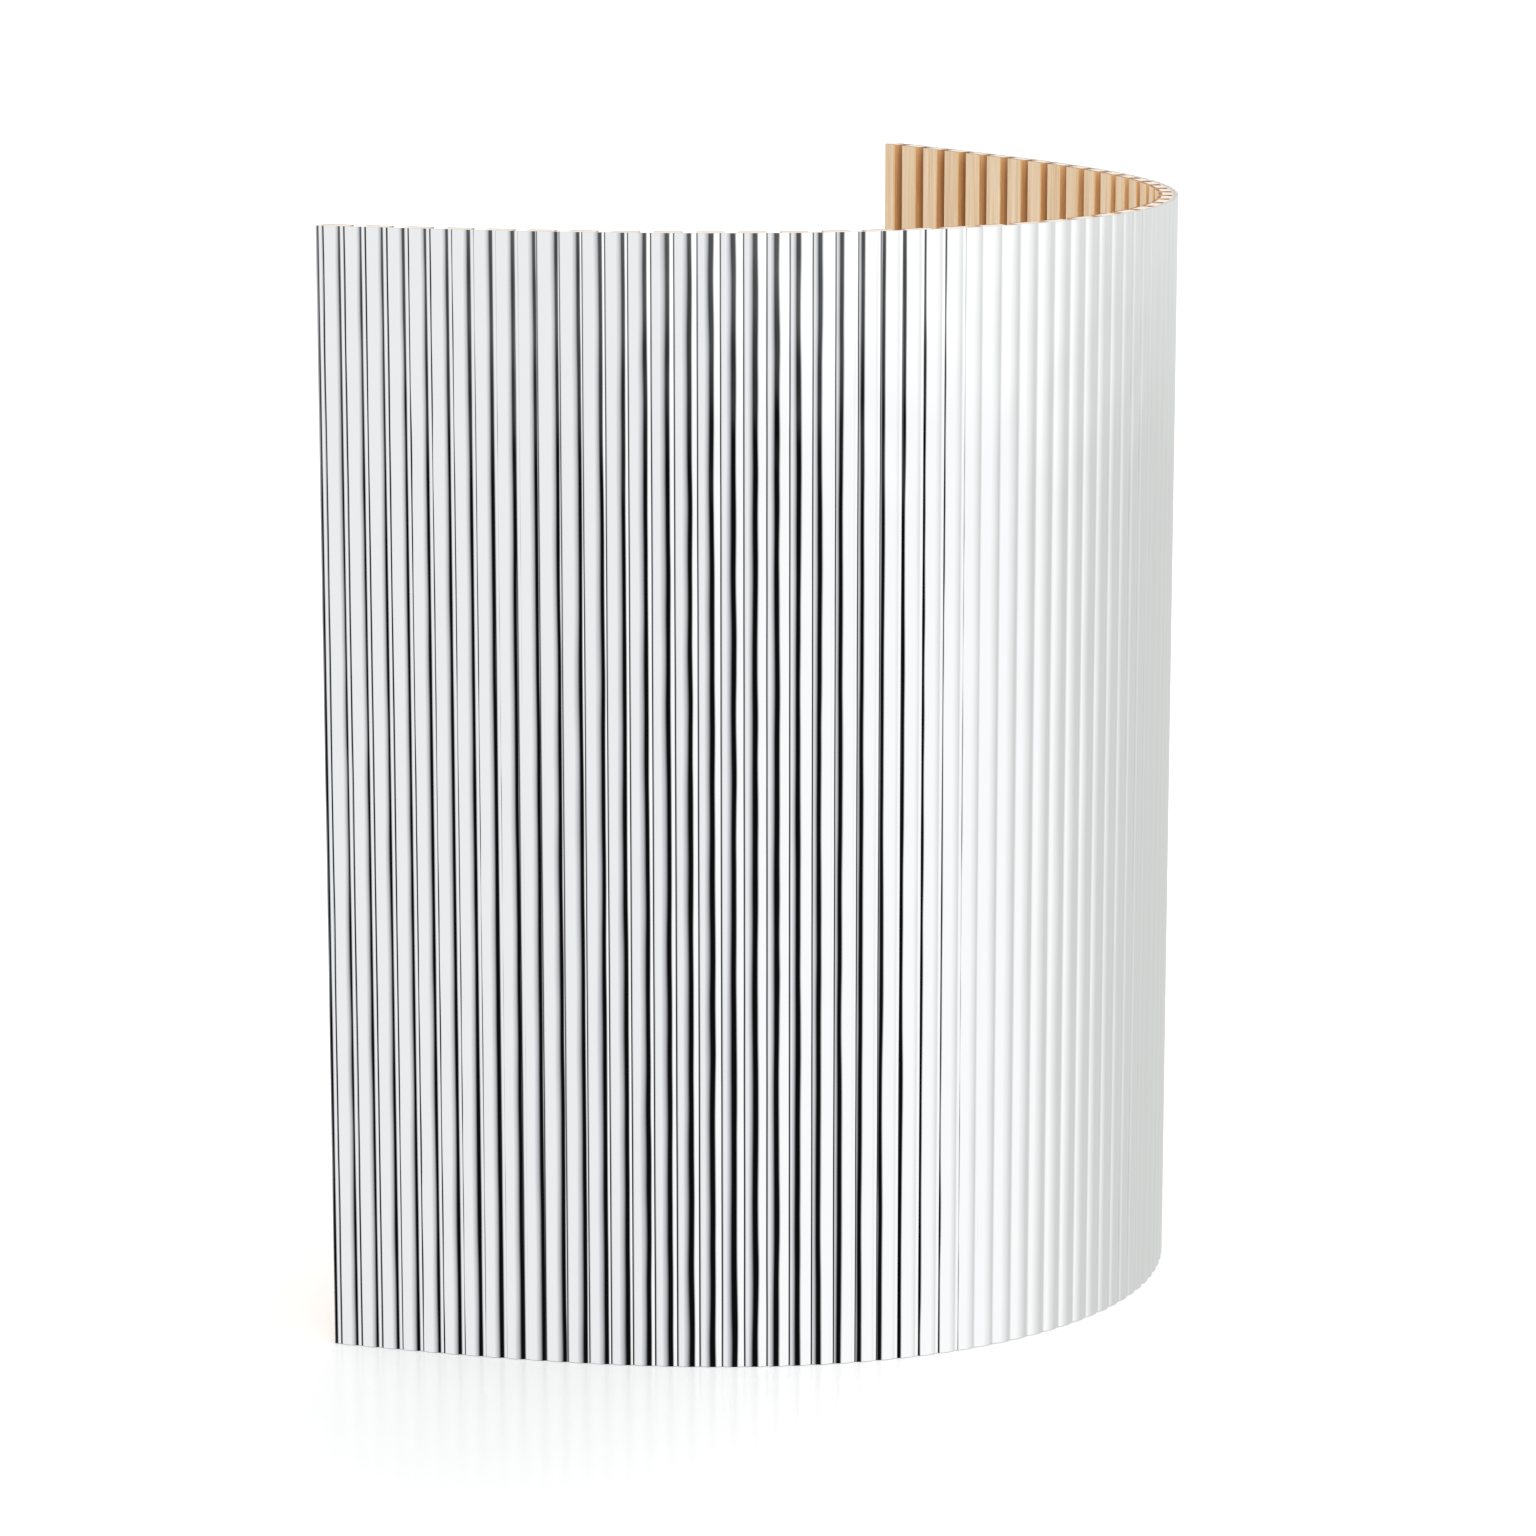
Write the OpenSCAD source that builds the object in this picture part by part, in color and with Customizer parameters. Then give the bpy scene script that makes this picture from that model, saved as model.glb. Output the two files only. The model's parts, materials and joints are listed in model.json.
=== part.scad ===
// Free-standing flexible acoustic panel, bent in plan like the letter J.
// Wood teeth run up the hollow side, with a groove between each two of them.
// A thin mirror facing covers the ribs of the outer side. The panel flexes at its
// grooves, where only a thin web of wood and the facing are left.
// Each slat is one or two teeth with their web, and carries its own strip of facing.

/* [Panel] */
// Height of the panel
panel_h = 1000; // [400:10:2000]
// Thickness from the crest of a rib to the back of a tooth
panel_t = 18; // [12:0.5:30]
// Slats of two teeth in the straight run before the bend
run_slats = 6; // [1:1:10]
// Slats of one tooth round the bend
bend_slats = 14; // [2:1:20]
// Slats of two teeth after the bend
rear_slats = 9; // [1:1:10]

/* [Teeth and grooves] */
// Distance from one groove to the next along the panel
tooth_pitch = 36.6; // [30:0.2:45]
// Width of a groove between two teeth
groove_w = 12.6; // [8:0.2:16]
// Depth of wood and facing left between a valley and a groove's floor
web_t = 4; // [3:0.2:6]
// Chamfer along the back edges of a tooth
tooth_chamfer = 0.6; // [0.2:0.1:1.5]
// Length from the near end of the panel to its first groove
first_len = 35; // [20:0.5:45]
// Length from the last groove to the rear end of the panel
last_len = 23.5; // [14:0.5:40]

/* [Ribs] */
// Distance from one rib to the next along the panel
rib_pitch = 19.5; // [14:0.1:30]
// Height of a rib's crest over the valleys beside it
rib_rise = 1.6; // [1:0.1:3]
// Radius of a rib's crown
crown_r = 30; // [24:1:60]
// Radius of a rib's shoulders
shoulder_r = 1.2; // [1:0.1:2]
// Width of the flat valley between two ribs
valley_w = 1.3; // [0.6:0.1:3]
// Length from the near end of the panel to its first valley
first_valley = 3.9; // [0:0.1:14]

/* [Mirror facing] */
// Thickness of the facing
facing_t = 0.8; // [0.3:0.1:0.9]

/* [Bend at rest] */
// Heading of the first tooth in plan, in degrees
start_heading = -18.7; // [-40:0.1:10]
// Largest bend at one groove, in degrees
bend_peak = 5.77; // [2:0.01:7]
// Groove that has the largest bend, counted from the near end
peak_groove = 18.6; // [10:0.1:30]
// Grooves over which the bend fades out towards the near end
reach_before = 22.9; // [19:0.1:40]
// Grooves over which the bend fades out towards the rear end
reach_after = 26.2; // [25:0.1:40]

/* [Hinge lines] */
// Gap between two slats along their hinge line
slat_gap = 0.3; // [0.2:0.05:0.6]
// Largest bend between two slats, in degrees
bend_limit = 13; // [8:0.5:20]

/* [Hidden] */
$fn = 180;
// Points along half a rib's crown, where the plan's reach is measured
crown_steps = 8;
slat_count = run_slats + bend_slats + rear_slats;
tooth_count = 2 * run_slats + bend_slats + 2 * rear_slats;
back_y = panel_t - rib_rise;
// Depth at which teeth and ribs are rooted, in the middle of the web's wood
root_y = (facing_t + web_t) / 2;

function turned(p, a) = [p[0] * cos(a) - p[1] * sin(a), p[0] * sin(a) + p[1] * cos(a)];

// Bend at each groove: a smooth hump that is highest at peak_groove
function reach(j) = j < peak_groove ? reach_before : reach_after;
function fade(j) = cos(90 * min(1, abs(j - peak_groove) / reach(j)));
bends = [for (j = [0 : tooth_count - 2]) bend_peak * pow(fade(j), 2)];

// Plan of the hinge line, tooth by tooth: length, heading and starting point
function tooth_len(t) = t == 0 ? first_len : t == tooth_count - 1 ? last_len : tooth_pitch;
function tooth_start(t) = t == 0 ? 0 : first_len + (t - 1) * tooth_pitch;
headings = [
  for (t = 0, a = start_heading; t < tooth_count; a = a + (t < tooth_count - 1 ? bends[t] : 0),
    t = t + 1) a
];
corners = [
  for (t = 0, p = [0, 0]; t < tooth_count; p = p + turned([tooth_len(t), 0], headings[t]),
    t = t + 1) p
];

// Slats: their teeth, and where they begin and end along the panel
function first_tooth(s) =
  s < run_slats ? 2 * s
  : s < run_slats + bend_slats ? s + run_slats
  : 2 * s - bend_slats;
function last_tooth(s) = s < slat_count - 1 ? first_tooth(s + 1) - 1 : tooth_count - 1;
function slat_start(s) = tooth_start(first_tooth(s));
function slat_len(s) = tooth_start(last_tooth(s)) + tooth_len(last_tooth(s)) - slat_start(s);

// The bend inside a slat of two teeth, and a point of a slat from its way along the
// slat and its depth
function is_pair(s) = last_tooth(s) > first_tooth(s);
function fold_x(s) = tooth_len(first_tooth(s));
function fold_a(s) = is_pair(s) ? bends[first_tooth(s)] : 0;
function past_fold(s, x) = is_pair(s) && x > fold_x(s);
function slat_point(s, x, y) =
  past_fold(s, x) ? [fold_x(s), 0] + turned([x - fold_x(s), y], fold_a(s)) : [x, y];
function fold_point(s, y) = [fold_x(s) - y * tan(fold_a(s) / 2), y];

// Rib outline: the shoulders touch the crown from inside
shoulder_x = (rib_pitch - valley_w) / 2 - shoulder_r;
shoulder_a = asin(shoulder_x / (crown_r - shoulder_r));
crown_y = crown_r - rib_rise;
shoulder_y = crown_y - (crown_r - shoulder_r) * cos(shoulder_a);
function crown_at(x) = crown_y - sqrt(crown_r * crown_r - x * x);

// Each rib stands on the line between its two feet, which are at the valleys
function first_rib(s) = floor((slat_start(s) - first_valley) / rib_pitch);
function last_rib(s) = floor((slat_start(s) + slat_len(s) - first_valley) / rib_pitch);
function foot_x(s, k) = first_valley + k * rib_pitch - slat_start(s);
function foot(s, k) = slat_point(s, foot_x(s, k), 0);
function rib_middle(s, k) = (foot(s, k) + foot(s, k + 1)) / 2;
function rib_heading(s, k) =
  let (d = foot(s, k + 1) - foot(s, k)) atan2(d[1], d[0]);

// Middle of the panel's plan, from its crests and its back corners
function in_plan(s, p) = corners[first_tooth(s)] + turned(p, headings[first_tooth(s)]);
function crest(s, k, u) =
  let (
    half = rib_pitch / 2,
    low = -foot_x(s, k) - half,
    x = max(low, min(low + slat_len(s), u * shoulder_x))
  )
    rib_middle(s, k) + turned([x, crown_at(x)], rib_heading(s, k));
outline = [
  for (s = [0 : slat_count - 1])
    each concat(
      [for (x = [0, slat_len(s)]) in_plan(s, slat_point(s, x, back_y))],
      [
        for (k = [first_rib(s) : last_rib(s)], i = [-crown_steps : crown_steps])
          in_plan(s, crest(s, k, i / crown_steps))
      ]
    )
];
plan_low = [for (i = [0, 1]) min([for (p = outline) p[i]])];
plan_high = [for (i = [0, 1]) max([for (p = outline) p[i]])];
plan_middle = (plan_low + plan_high) / 2;

// Names of the nodes
function two_digits(n) = n < 10 ? str("0", n) : str(n);
function slat_name(s) = str("slat_", two_digits(s + 1));
function facing_name(s) = str("mirror_", two_digits(s + 1));

// One rib, with trim taken off all round, down to its root in the web
module rib(trim) {
  half_w = shoulder_x + shoulder_r - trim;
  tangent_x = (crown_r - trim) * sin(shoulder_a);
  intersection() {
    translate([0, crown_y]) circle(r = crown_r - trim);
    translate([-tangent_x, -panel_t]) square([2 * tangent_x, panel_t + root_y]);
  }
  for (side = [-1, 1])
    translate([side * shoulder_x, shoulder_y]) circle(r = shoulder_r - trim, $fn = 48);
  translate([-half_w, shoulder_y]) square([2 * half_w, root_y - shoulder_y]);
}

// A line along a slat at one depth, turning at its inner bend
function line(s, y) =
  [
    [-panel_t, y],
    if (is_pair(s)) fold_point(s, y),
    slat_point(s, slat_len(s) + panel_t, y)
  ];
function backwards(points) = [for (i = [len(points) - 1 : -1 : 0]) points[i]];

// The ribbed face of a slat, from its crests down to a given depth
module ribbed_face(s, trim, deep) {
  polygon(concat(line(s, trim), backwards(line(s, deep))));
  for (k = [first_rib(s) : last_rib(s)])
    translate(rib_middle(s, k)) rotate(rib_heading(s, k)) rib(trim);
}

// A slat's share of the panel: square at an end of the panel, and bevelled at a hinge
// line so that it can bend
function bevel(y) = slat_gap / 2 + max(0, y) * tan(bend_limit / 2);
module share(s) {
  ys = [-panel_t, 0, panel_t];
  low = [for (y = ys) slat_point(s, s == 0 ? 0 : bevel(y), y)];
  high = [for (y = ys) slat_point(s, slat_len(s) - (s == slat_count - 1 ? 0 : bevel(y)), y)];
  polygon(concat(backwards(low), high));
}

// The back of one tooth, between its grooves or the ends of the panel
module tooth_block(t) {
  low_x = t == 0 ? 0 : groove_w / 2;
  high_x = tooth_len(t) - (t == tooth_count - 1 ? 0 : groove_w / 2);
  c = tooth_chamfer;
  polygon([
    [low_x, root_y], [high_x, root_y],
    [high_x, back_y - c], [high_x - c, back_y],
    [low_x + c, back_y], [low_x, back_y - c],
  ]);
}

// Cuts a slat's share out of a drawing of it, and stands it in its place
module slat_solid(s) {
  linear_extrude(height = panel_h)
    translate(corners[first_tooth(s)] - plan_middle)
      rotate(headings[first_tooth(s)])
        intersection() {
          children();
          share(s);
        }
}

module slat(s) {
  color("burlywood") slat_solid(s) {
    ribbed_face(s, facing_t, web_t);
    tooth_block(first_tooth(s));
    if (is_pair(s))
      translate([fold_x(s), 0]) rotate(fold_a(s)) tooth_block(last_tooth(s));
  }
}

module mirror_facing(s) {
  color("silver") slat_solid(s) difference() {
    ribbed_face(s, 0, web_t);
    ribbed_face(s, facing_t, panel_t);
  }
}

for (s = [0 : slat_count - 1]) {
  slat(s);
  mirror_facing(s);
}
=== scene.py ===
# %% [markdown]
# # A flexible acoustic panel with a mirror facing
# The real object is a free-standing screen. Wood teeth run up its hollow side, with a
# groove between each two of them, and a thin mirror film is stretched over shallow ribs
# on its round side. It bends at every groove and stands on its own edge.
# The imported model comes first. It fixes every size, place and joint, so all that follows
# only dresses it.

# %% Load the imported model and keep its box
import json
import math

import bpy
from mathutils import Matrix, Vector


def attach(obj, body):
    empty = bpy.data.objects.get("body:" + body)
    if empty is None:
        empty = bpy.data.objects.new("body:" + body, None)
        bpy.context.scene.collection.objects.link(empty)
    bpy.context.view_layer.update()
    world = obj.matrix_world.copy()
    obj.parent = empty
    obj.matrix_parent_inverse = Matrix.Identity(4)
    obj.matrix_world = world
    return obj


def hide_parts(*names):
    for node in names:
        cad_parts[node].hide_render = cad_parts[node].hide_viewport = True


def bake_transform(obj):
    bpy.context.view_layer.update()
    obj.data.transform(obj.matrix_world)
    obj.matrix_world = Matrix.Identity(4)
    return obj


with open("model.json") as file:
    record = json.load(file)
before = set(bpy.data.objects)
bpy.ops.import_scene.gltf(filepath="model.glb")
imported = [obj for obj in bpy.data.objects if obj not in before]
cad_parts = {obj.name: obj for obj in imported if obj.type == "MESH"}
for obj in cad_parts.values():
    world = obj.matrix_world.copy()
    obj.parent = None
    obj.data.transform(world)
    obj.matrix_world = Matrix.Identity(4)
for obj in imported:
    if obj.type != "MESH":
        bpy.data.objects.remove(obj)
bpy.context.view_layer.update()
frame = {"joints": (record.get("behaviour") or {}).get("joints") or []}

# %% [markdown]
# ## Sizes
# The sizes are the ones that the solids were drawn with, in millimetres. They could be
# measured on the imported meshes, but typed sizes are easier to read and to change. The
# panel is drawn on its developed length, as if it were rolled out flat: a distance along
# the panel says which tooth, which groove and which rib a point belongs to.

# %% Sizes in millimetres
PANEL_H, PANEL_T, BACK_Y, WEB_T = 1000.0, 18.0, 16.4, 4.0
RUN_SLATS, BEND_SLATS, REAR_SLATS = 6, 14, 9
TOOTH_PITCH, GROOVE_W, CHAMFER = 36.6, 12.6, 0.6
FIRST_LEN, LAST_LEN = 35.0, 23.5
RIB_PITCH, RIB_RISE, FIRST_VALLEY = 19.5, 1.6, 3.9
FACING_T = 0.8
START_HEADING, BEND_PEAK, PEAK_GROOVE = -18.7, 5.77, 18.6
REACH_BEFORE, REACH_AFTER = 22.9, 26.2

SLATS = RUN_SLATS + BEND_SLATS + REAR_SLATS
TEETH = 2 * RUN_SLATS + BEND_SLATS + 2 * REAR_SLATS
LENGTHS = [FIRST_LEN] + [TOOTH_PITCH] * (TEETH - 2) + [LAST_LEN]
STARTS = [sum(LENGTHS[:t]) for t in range(TEETH)]
TOTAL = sum(LENGTHS)
print("teeth", TEETH, "slats", SLATS, "developed length", round(TOTAL, 1), "mm")

# %% [markdown]
# ## The plan
# Seen from above, the real panel is one smooth curve. It could be drawn freehand as a
# curve object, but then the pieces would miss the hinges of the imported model. So the
# curve is worked out from the same few numbers as the solids. Each groove takes a small
# share of the whole bend, and the share grows smoothly towards the turn of the J. The
# solids are straight between their grooves. The mirror of the real panel shows no such
# corners: its reflections drift evenly from rib to rib. So the pieces made here follow an
# arc at each groove, which touches the solids' line halfway along the teeth on either
# side.

# %% Bends, headings and corners of the line
def turned(p, a):
    return (p[0] * math.cos(a) - p[1] * math.sin(a), p[0] * math.sin(a) + p[1] * math.cos(a))


def plus(p, q):
    return (p[0] + q[0], p[1] + q[1])


def groove_bend(j):
    """Bend at groove j, in radians: a smooth hump that is highest at PEAK_GROOVE."""
    reach = REACH_BEFORE if j < PEAK_GROOVE else REACH_AFTER
    faded = min(1, abs(j - PEAK_GROOVE) / reach)
    return math.radians(BEND_PEAK) * math.cos(math.pi / 2 * faded) ** 2


BENDS = [groove_bend(j) for j in range(TEETH - 1)]
HEADINGS = [math.radians(START_HEADING) + sum(BENDS[:t]) for t in range(TEETH)]
CORNERS = [(0.0, 0.0)]
for t in range(TEETH):
    CORNERS.append(plus(CORNERS[-1], turned((LENGTHS[t], 0), HEADINGS[t])))
print("headings from", START_HEADING, "to", round(math.degrees(HEADINGS[-1]), 1))


# %% Slats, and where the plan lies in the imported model
def first_tooth(s):
    if s < RUN_SLATS:
        return 2 * s
    return s + RUN_SLATS if s < RUN_SLATS + BEND_SLATS else 2 * s - BEND_SLATS


def last_tooth(s):
    return first_tooth(s + 1) - 1 if s < SLATS - 1 else TEETH - 1


def body_name(s):
    return f"slat_body_{s + 1:02d}"


HINGE = {j["name"]: j["pos_m"] for j in frame["joints"]}
first_hinge = CORNERS[last_tooth(0) + 1]
SHIFT = tuple(HINGE["groove_01_02"][i] * 1000 - first_hinge[i] for i in (0, 1))
last_hinge = plus(CORNERS[first_tooth(SLATS - 1)], SHIFT)
off = [round(HINGE["groove_28_29"][i] * 1000 - last_hinge[i], 3) for i in (0, 1)]
print("shift", [round(v, 3) for v in SHIFT], "mm; last hinge off by", off, "mm")


# %% A point of the rolled-out panel in plan
def line_at(u):
    """Place on the facing's line, in mm, and heading there, u mm from the near end."""
    half = TOOTH_PITCH / 2
    j = min(max(round((u - FIRST_LEN) / TOOTH_PITCH), 0), TEETH - 2)
    way = u - (STARTS[j + 1] - half)
    if j == 0 and way < 0:
        return plus(turned((u, 0), HEADINGS[0]), SHIFT), HEADINGS[0]
    if j == TEETH - 2 and way > 2 * half:
        p = turned((u - STARTS[-1], 0), HEADINGS[-1])
        return plus(plus(CORNERS[TEETH - 1], p), SHIFT), HEADINGS[-1]
    angle = BENDS[j] * way / (2 * half)
    radius = half / math.tan(BENDS[j] / 2)
    arc = (radius * math.sin(angle) - half, radius * (1 - math.cos(angle)))
    p = plus(CORNERS[j + 1], turned(arc, HEADINGS[j]))
    return plus(p, SHIFT), HEADINGS[j] + angle


def plan_point(u, depth):
    """Place in mm and outward direction, at a depth behind the facing's line."""
    p, a = line_at(u)
    return plus(p, turned((0, depth), a)), turned((0, -1), a)


def tooth_point(t, x, depth):
    """Place in mm of a point of a straight tooth."""
    p = plus(CORNERS[t], turned((x, depth), HEADINGS[t]))
    return plus(p, SHIFT), turned((0, -1), HEADINGS[t])


for u in (0, 400, 900, TOTAL):
    p, a = line_at(u)
    print("at", u, "mm:", [round(v, 1) for v in p], "heading", round(math.degrees(a), 1))

# %% [markdown]
# ## Two small helpers
# Nodes can be placed by hand in the editor, but then a file like this could not show how.
# A tree is easier to read when each node is one line, so one function adds a node with
# its settings and its inputs. Another turns hex colours, which are sRGB, into the linear
# values that shaders work with. A finish has a few such colours, which were matched to
# the photograph.

# %% Helpers for nodes and colours
def add(tree, kind, inputs=None, **settings):
    """Adds a node. Inputs that are nodes or sockets are linked, and others are values."""
    node = tree.nodes.new(kind)
    for name, value in settings.items():
        setattr(node, name, value)
    for key, value in (inputs or {}).items():
        if isinstance(value, bpy.types.Node):
            value = value.outputs[0]
        if isinstance(value, bpy.types.NodeSocket):
            tree.links.new(value, node.inputs[key])
        else:
            node.inputs[key].default_value = value
    return node


def linear(hex_colour, gain=1.0):
    """#RRGGBB as linear RGBA."""
    out = []
    for i in (1, 3, 5):
        c = int(hex_colour[i:i + 2], 16) / 255
        out.append((c / 12.92 if c <= 0.04045 else ((c + 0.055) / 1.055) ** 2.4) * gain)
    return (*out, 1.0)


def ramp(tree, fac, stops):
    """A colour ramp with (place, colour) stops."""
    node = add(tree, "ShaderNodeValToRGB", {0: fac})
    elements = node.color_ramp.elements
    while len(elements) < len(stops):
        elements.new(0.5)
    for element, (place, colour) in zip(elements, stops):
        element.position, element.color = place, colour
    return node


print("helpers ready; mid grey is", round(linear("#808080")[0], 3))

# %% [markdown]
# ## Mirror film
# The facing is a silvered plastic film laminated over ribbed board. It is as smooth as
# glass, but it follows the board, so a straight reflection wavers a little on its way up
# a rib. The wavers could be real dents in the mesh, but they are so shallow that only a
# reflection shows them, so bump does it and the mesh stays light. Metallic is 1 with the
# default IOR, the roughness is that of a good mirror film, and two long soft noises tilt
# the surface by about a degree.

# %% Material: silvered film over ribbed board
# waves a metre along each axis: the board under the film wavers over about 40 mm across
# and 125 mm up, and the film itself pulls over about 8 mm across and 90 mm up
BOARD_WAVES, FILM_PULLS = (25, 25, 8), (120, 120, 11)
# height of the two kinds of wave, in metres
WAVE_HEIGHT, PULL_HEIGHT = 0.0011, 0.00005
silvered_film = bpy.data.materials.new("silvered_film")
silvered_film.use_nodes = True
tree = silvered_film.node_tree
tree.nodes.clear()
place = add(tree, "ShaderNodeTexCoord").outputs["Object"]
long_way = add(tree, "ShaderNodeMapping", {"Vector": place, "Scale": BOARD_WAVES})
waver = add(tree, "ShaderNodeTexNoise", {"Vector": long_way, "Scale": 1.0, "Detail": 1.0})
short_way = add(tree, "ShaderNodeMapping", {"Vector": place, "Scale": FILM_PULLS})
pull = add(tree, "ShaderNodeTexNoise", {"Vector": short_way, "Scale": 1.0, "Detail": 2.0})
low = add(tree, "ShaderNodeBump", {
    "Height": waver, "Strength": 1.0, "Distance": WAVE_HEIGHT})
fine = add(tree, "ShaderNodeBump", {
    "Height": pull, "Strength": 0.5, "Distance": PULL_HEIGHT, "Normal": low})
film = add(tree, "ShaderNodeBsdfPrincipled", {
    "Base Color": linear("#F4F5F6"), "Metallic": 1.0, "Roughness": 0.02, "Normal": fine})
add(tree, "ShaderNodeOutputMaterial", {"Surface": film})
print(silvered_film.name, len(tree.nodes), "nodes")

# %% [markdown]
# ## Wood
# The backs of the teeth are a pale hardwood veneer, such as maple, sanded and left bare:
# creamy, with fine straight grain that runs up the tooth. Its grooves are sawn through
# the veneer into the browner board, and the saw leaves them dull. The top and bottom
# edges show the board's end. One picture of wood wrapped over all of it could not show
# this and would need image files, so the three are separate materials on the same piece,
# each made of noises. Each point carries an attribute, grain_at, with its way along the
# panel, its depth and the number of its tooth. The grain follows the teeth round the bend
# with it, and no two teeth are alike.

# %% Grain coordinates that follow the teeth
# how far apart in the noise two teeth are taken, so that their grain differs
TOOTH_STRIDE = 17.3


def grain(tree, across, upward):
    """Vector for a noise in grain coordinates: so many waves a millimetre each way."""
    at = add(tree, "ShaderNodeAttribute", attribute_name="grain_at").outputs["Vector"]
    part = add(tree, "ShaderNodeSeparateXYZ", {0: at})
    place = add(tree, "ShaderNodeTexCoord").outputs["Object"]
    height = add(tree, "ShaderNodeSeparateXYZ", {0: place}).outputs["Z"]
    side = add(tree, "ShaderNodeMath", {
        0: part.outputs["X"], 1: part.outputs["Y"]}, operation="ADD")
    x = add(tree, "ShaderNodeMath", {0: side, 1: across}, operation="MULTIPLY")
    y = add(tree, "ShaderNodeMath", {
        0: part.outputs["Z"], 1: TOOTH_STRIDE}, operation="MULTIPLY")
    z = add(tree, "ShaderNodeMath", {0: height, 1: 1000 * upward}, operation="MULTIPLY")
    return add(tree, "ShaderNodeCombineXYZ", {0: x, 1: y, 2: z})


def tooth_number(tree):
    """A steady random number from 0 to 1 for each tooth."""
    at = add(tree, "ShaderNodeAttribute", attribute_name="grain_at").outputs["Vector"]
    part = add(tree, "ShaderNodeSeparateXYZ", {0: at})
    whole = add(tree, "ShaderNodeMath", {0: part.outputs["Z"]}, operation="ROUND")
    random = add(tree, "ShaderNodeTexWhiteNoise", {"W": whole}, noise_dimensions="1D")
    return random.outputs["Value"]


print("grain runs up the teeth, and starts anew at each")


# %% A material for bare wood
# share of the fine grain lines and of the broad bands in the pattern, and how many times
# wider and longer a band is than a line
LINES_SHARE, BANDS_SHARE = 0.65, 0.35
BAND_WIDTHS, BAND_LENGTHS = 7, 4
# the noise lies mostly between these two, which become the dark and the pale colour
NOISE_LOW, NOISE_HIGH = 0.36, 0.62
# how far the most tinted tooth goes towards the tint
TINT_SHARE = 0.3


def wood(name, dark, pale, tint, across, upward, roughness, bump, layers_and_shade=()):
    """Bare wood with grain lines between two colours, and teeth that differ a little.
    The last argument lists (depth mm, colour that the wood is multiplied by) from the front
    to the back: painted shade in the sawn board's grooves, the board's own colours at its end."""
    material = bpy.data.materials.new(name)
    material.use_nodes = True
    tree = material.node_tree
    tree.nodes.clear()
    lines = add(tree, "ShaderNodeTexNoise", {
        "Vector": grain(tree, across, upward), "Scale": 1.0, "Detail": 3.0, "Roughness": 0.6})
    bands = add(tree, "ShaderNodeTexNoise", {
        "Vector": grain(tree, across / BAND_WIDTHS, upward / BAND_LENGTHS),
        "Scale": 1.0, "Detail": 1.0})
    fine = add(tree, "ShaderNodeMath", {0: lines, 1: LINES_SHARE}, operation="MULTIPLY")
    share = add(tree, "ShaderNodeMath", {
        0: bands, 1: BANDS_SHARE, 2: fine}, operation="MULTIPLY_ADD")
    spread = add(tree, "ShaderNodeMapRange", {
        "Value": share, "From Min": NOISE_LOW, "From Max": NOISE_HIGH})
    colour = add(tree, "ShaderNodeMix", {
        "Factor": spread, "A": linear(dark), "B": linear(pale)}, data_type="RGBA")
    differ = add(tree, "ShaderNodeMath", {
        0: tooth_number(tree), 1: TINT_SHARE}, operation="MULTIPLY")
    shade = add(tree, "ShaderNodeMix", {
        "Factor": differ, "A": colour.outputs["Result"], "B": linear(tint)}, data_type="RGBA")
    surface = shade.outputs["Result"]
    # colours by depth: painted shade in the sawn board's grooves, the board's own colours at its
    # end
    if layers_and_shade:
        at = add(tree, "ShaderNodeAttribute", attribute_name="grain_at").outputs["Vector"]
        deep = add(tree, "ShaderNodeSeparateXYZ", {0: at}).outputs["Y"]
        share = add(tree, "ShaderNodeMath", {0: deep, 1: PANEL_T}, operation="DIVIDE")
        layer = ramp(tree, share, [(mm / PANEL_T, linear(c)) for mm, c in layers_and_shade])
        tinted_and_shaded = add(tree, "ShaderNodeMix", {
            "Factor": 1.0, "A": surface, "B": layer}, data_type="RGBA", blend_type="MULTIPLY")
        surface = tinted_and_shaded.outputs["Result"]
    relief = add(tree, "ShaderNodeBump", {"Height": lines, "Strength": 0.5, "Distance": bump})
    bare = add(tree, "ShaderNodeBsdfPrincipled", {
        "Base Color": surface, "Roughness": roughness, "IOR": 1.5, "Normal": relief})
    add(tree, "ShaderNodeOutputMaterial", {"Surface": bare})
    return material


print("fine lines make", LINES_SHARE, "of the grain and broad bands", BANDS_SHARE)

# %% Material: sanded maple veneer
# creamy, with lines that run up the tooth; real ones are under 1 mm apart, and these are
# about 2 mm apart, so that they still show from where the camera stands
maple_veneer = wood("sanded_maple_veneer", "#DDB98A", "#FBE8CB", "#EDCFA6",
                    across=0.5, upward=0.008, roughness=0.55, bump=0.0001)
print(maple_veneer.name, len(maple_veneer.node_tree.nodes), "nodes")

# %% Material: sawn board in the grooves
# browner and duller than the veneer, with coarser streaks from the saw, with painted shade
# that makes it darker towards the floor of a groove, and with a honey line where the
# veneer's edge is eased
sawn_board = wood("sawn_board", "#DEA76B", "#FCD6A0", "#EDBC82",
                  across=0.7, upward=0.02, roughness=0.7, bump=0.0002,
                  layers_and_shade=((4.0, "#B5A39B"), (9.0, "#D8CDC5"), (13.5, "#FFFFFF"),
                          (BACK_Y - CHAMFER - 0.1, "#FFFFFF"), (BACK_Y - CHAMFER, "#FFFFF0")))
print(sawn_board.name, len(sawn_board.node_tree.nodes), "nodes")

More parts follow.
